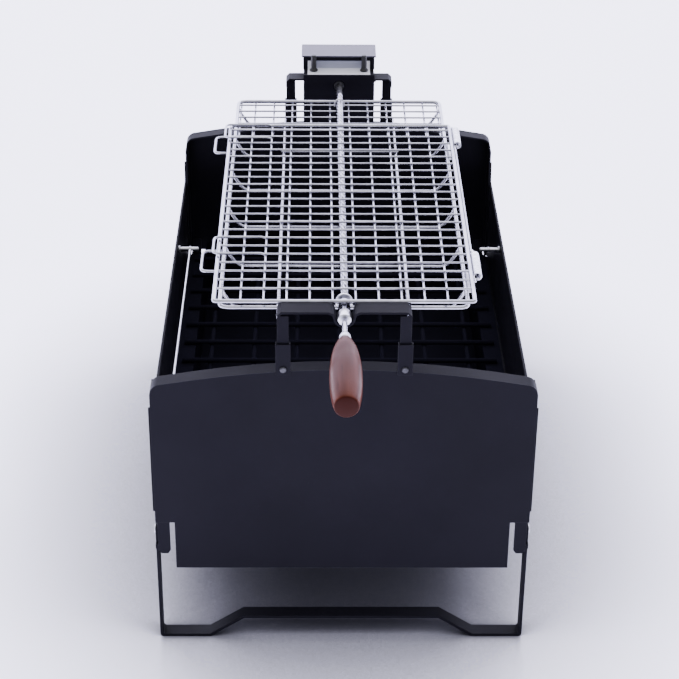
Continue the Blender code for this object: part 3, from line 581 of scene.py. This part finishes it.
def tray_floor():
    """Two rails on the bows, tied by short cross wires above every other bow."""
    low, high = span("tray_grid")
    z = low.z + 1.4
    rail_x, lift = 48.5, 2.1

    def build(bm):
        for side in (-1, 1):
            tube(bm, [(side * rail_x, low.y, z), (side * rail_x, high.y, z)], RAIL_R, 12)
        for y in BOWS[::2]:
            y += TRAY_SHIFT
            tube(bm, [(low.x, y, z + lift), (high.x, y, z + lift)], TIE_R, 10)

    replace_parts(mesh_piece("tray_floor", build, "chrome_wire", "spit"), "tray_grid")


def tray_rear_mesh():
    """The flat wire panel at the rear of the tray, lengthways wires under cross wires."""
    low, high = span("tray_mesh_rear")
    half = high.x
    plane = RIM_Z - 0.3
    rows = 5

    def build(bm):
        for x in [-half + 1, *COLUMNS, half - 1]:
            tube(bm, [(x, low.y, plane - 0.85), (x, high.y + 0.8, plane - 0.85)], WIRE_R, 10)
        for i in range(rows):
            y = high.y - 8 - 13.8 * i
            tube(bm, [(-half - 0.8, y, plane + 0.85), (half + 0.8, y, plane + 0.85)], WIRE_R, 10)

    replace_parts(mesh_piece("tray_mesh", build, "chrome_wire", "spit"), "tray_mesh_rear")


def bails():
    """Wire hooks over the lid's left edge, their ends curled down at the second wire."""
    for node in ("lid_bail_front", "lid_bail_rear"):
        low, high = span(node)
        y0, y1, z = low.y + 0.9, high.y - 0.9, high.z - 0.9
        x0, x1 = low.x + 0.9, high.x

        def build(bm):
            path = [(x1 - 1.5, y0, z - 1.0), (x1 - 4, y0, z), (x0, y0, z), (x0, y1, z), (x1 - 4, y1, z)]
            path += [(x1 - 1.5, y1, z - 1.0)]
            tube(bm, rounded(path, 5.0), BAIL_R, 10)

        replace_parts(mesh_piece(node + "_wire", build, "chrome_wire", "lid"), node)


def latch_axle():
    """The bent wire along the lid's right edge that the two rolled latches turn on."""
    low, high = span("latch_wire")
    r = 0.9
    xi, x, z = low.x + r, high.x - r, (low.z + high.z) / 2
    y0, y1 = low.y, high.y
    starts = (y0 + 3.5, y0 + 244.5)
    ends = (y0 + 47.5, y0 + 281.5)

    def build(bm):
        path = [(xi, y0, z)]
        for a, b in zip(starts, ends):
            path += [(xi, a, z), (x, a, z), (x, b, z), (xi, b, z)]
        path.append((xi, y1, z))
        tube(bm, rounded(path, 1.4, 4), r, 10)

    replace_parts(mesh_piece("latch_axle", build, "chrome_wire", "lid"), "latch_wire")


# ---- spit ----
def spit_bar():
    """A square bar, round at the handle end, plain at both ends, twisted along the basket and tapered at
    the rear.
    """
    low, high = span("spit_rod")
    side = 2.2
    lead = 26.0
    y0, y1 = low.y, high.y
    round_to, square_from, square_to = y0 + 72.0, y0 + 76.0, y1 - 12.0
    step = 1.6
    corners = 16

    def build(bm, y_from, y_to):
        rings = []
        count = int((y_to - y_from) / step)
        for i in range(count + 1):
            y = y_from + (y_to - y_from) * i / count
            square = min(1.0, max(0.0, (y - round_to) / (square_from - round_to)))
            turn = 2 * math.pi * max(0.0, min(y, square_to) - square_from) / lead
            taper = 1.0 if y < square_to + 4 else 1.0 - 0.45 * (y - square_to - 4) / (y1 - square_to - 4)
            ring = []
            for k in range(corners):
                t = 2 * math.pi * k / corners
                flat = side / max(abs(math.cos(t)), abs(math.sin(t)))
                flat = min(flat, side * 1.36)
                r = (2.0 + (flat - 2.0) * square) * taper
                a = t + turn
                at = Vector((r * math.cos(a), y, SPIT_Z + r * math.sin(a)))
                ring.append(bm.verts.new(at * MM))
            rings.append(ring)
        for r0, r1 in zip(rings, rings[1:]):
            for k in range(corners):
                bm.faces.new((r0[k], r0[(k + 1) % corners], r1[(k + 1) % corners], r1[k]))
        bm.faces.new(rings[0])
        bm.faces.new(list(reversed(rings[-1])))

    # painted shade: the same rod past the tray gets the dark steel, standing in for the shadow it lies in
    # by the motor
    seam = TRAY_HIGH.y + 1.0
    bright = mesh_piece("twisted_spit", lambda bm: build(bm, y0, seam), "chrome_wire", "spit")
    tang = lambda bm: build(bm, seam, y1)
    shaded_tang = mesh_piece("spit_tang_painted_shade", tang, "chrome_wire", "spit", mat=MATS["dull_steel"])
    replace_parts(bright, "spit_rod")
    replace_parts(shaded_tang, "spit_rod")


def wooden_handle():
    """A turned grip, fullest before the middle, with an eased flat end."""
    low, high = span("handle")
    long = high.y - low.y
    knots = [
        (7.6, 0.0), (8.5, 0.008), (9.1, 0.03), (9.9, 0.09), (10.8, 0.20), (11.3, 0.36), (11.2, 0.52),
        (10.3, 0.68), (8.7, 0.82), (6.6, 0.92), (4.9, 0.98), (4.1, 1.0),
    ]
    profile = [(r, s * long) for r, s in smooth_curve(knots, 6)]

    def build(bm):
        turned(bm, [(0.01, 0.0), *profile, (2.2, long)], (0, low.y, SPIT_Z), 64)

    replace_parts(mesh_piece("grip", build, "handle_wood", "spit"), "handle")


def rings_on_spit():
    """The ferrule, bearing bush and set collar, turned finely."""
    shapes = {
        "ferrule": [
            (2.3, 0), (4.0, 0), (4.2, 0.3), (4.2, 4.2), (4.0, 4.6), (3.3, 7.1), (3.0, 7.4), (2.3, 7.4),
        ],
        "bearing_bush": [
            (2.5, 0.6), (3.4, 0.1), (4.2, 0), (4.8, 0.5), (4.9, 1.2), (4.9, 9.4), (4.2, 10.6), (2.5, 10.6),
        ],
        "set_collar": [(3.2, 0), (4.5, 0), (5.0, 0.5), (5.1, 1.0), (5.1, 4.0), (4.7, 5.0), (3.2, 5.0)],
    }
    for node, profile in shapes.items():
        low = span(node)[0]

        def build(bm):
            turned(bm, profile, (0, low.y, SPIT_Z), 40)

        slot = SLOT_OF[node]
        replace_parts(mesh_piece(node + "_ring", build, slot, "spit"), node)


# ---- leftover CAD nodes ----
def coat_nodes():
    """Every CAD node that still shows gets its procedural material."""
    for name, node in NODES.items():
        node.data.materials.clear()
        node.data.materials.append(MATS[SLOT_OF[name]])


# ---- stage ----
def soft_box(name, at, size, power, target, colour=(1, 1, 1)):
    """A rectangular lamp aimed at a target; places and sizes in metres, power in watts."""
    data = bpy.data.lights.new(name, "AREA")
    data.shape = "RECTANGLE"
    data.size, data.size_y = size
    data.energy = power
    data.color = colour
    lamp = bpy.data.objects.new(name, data)
    lamp.location = at
    lamp.rotation_euler = (Vector(target) - Vector(at)).to_track_quat("-Z", "Y").to_euler()
    bpy.context.scene.collection.objects.link(lamp)


def studio():
    """A seamless pale floor with a curved back, soft top light and an even pale surround."""
    half, back, bend, rise = 14.0, 5.0, 1.5, 6.0
    profile = [(-14.0, 0.0), (back - bend, 0.0)]
    for i in range(1, 13):
        a = math.pi / 2 * i / 12
        profile.append((back - bend + bend * math.sin(a), bend - bend * math.cos(a)))
    profile.append((back, rise))
    data = bpy.data.meshes.new("studio_floor")
    points = [(x, y, z) for y, z in profile for x in (-half, half)]
    faces = [(2 * i, 2 * i + 1, 2 * i + 3, 2 * i + 2) for i in range(len(profile) - 1)]
    data.from_pydata(points, [], faces)
    for face in data.polygons:
        face.use_smooth = True
    floor = bpy.data.objects.new("studio_floor", data)
    bpy.context.scene.collection.objects.link(floor)
    data.materials.append(floor_sheet())
    world = bpy.data.worlds.new("surround")
    world.use_nodes = True
    world.node_tree.nodes["Background"].inputs["Color"].default_value = (0.93, 0.93, 1.0, 1)
    world.node_tree.nodes["Background"].inputs["Strength"].default_value = SURROUND_STRENGTH
    bpy.context.scene.world = world
    soft_box("top", (0.0, 0.3, 2.2), (2.4, 2.4), 24, (0, 0, 0.1))
    soft_box("left", (-1.9, -0.9, 1.4), (1.2, 1.6), 5, (0, 0, 0.15))
    soft_box("right", (1.9, -0.7, 1.3), (1.2, 1.6), 4, (0, 0, 0.15))
    soft_box("back", (0.0, 2.2, 1.6), (2.2, 1.2), 10, (0, 0.1, 0.2))


def camera():
    """A long lens in front of the object, looking down at it."""
    data = bpy.data.cameras.new("camera")
    data.lens = CAMERA_LENS
    data.sensor_width = 36.0
    data.clip_end = 50.0
    eye = bpy.data.objects.new("camera", data)
    pitch = Matrix.Rotation(math.radians(90 - CAMERA_PITCH), 4, "X")
    yaw = Matrix.Rotation(-math.radians(CAMERA_YAW), 4, "Z")
    roll = Matrix.Rotation(math.radians(CAMERA_ROLL), 4, "Z")
    eye.matrix_world = Matrix.Translation(CAMERA_AT) @ yaw @ pitch @ roll
    bpy.context.scene.collection.objects.link(eye)
    bpy.context.scene.camera = eye


camera()
coat_nodes()
sheet_metal()
basket_lid()
tray_wires()
tray_floor()
tray_rear_mesh()
bails()
latch_axle()
spit_bar()
wooden_handle()
rings_on_spit()
studio()

bpy.context.view_layer.update()
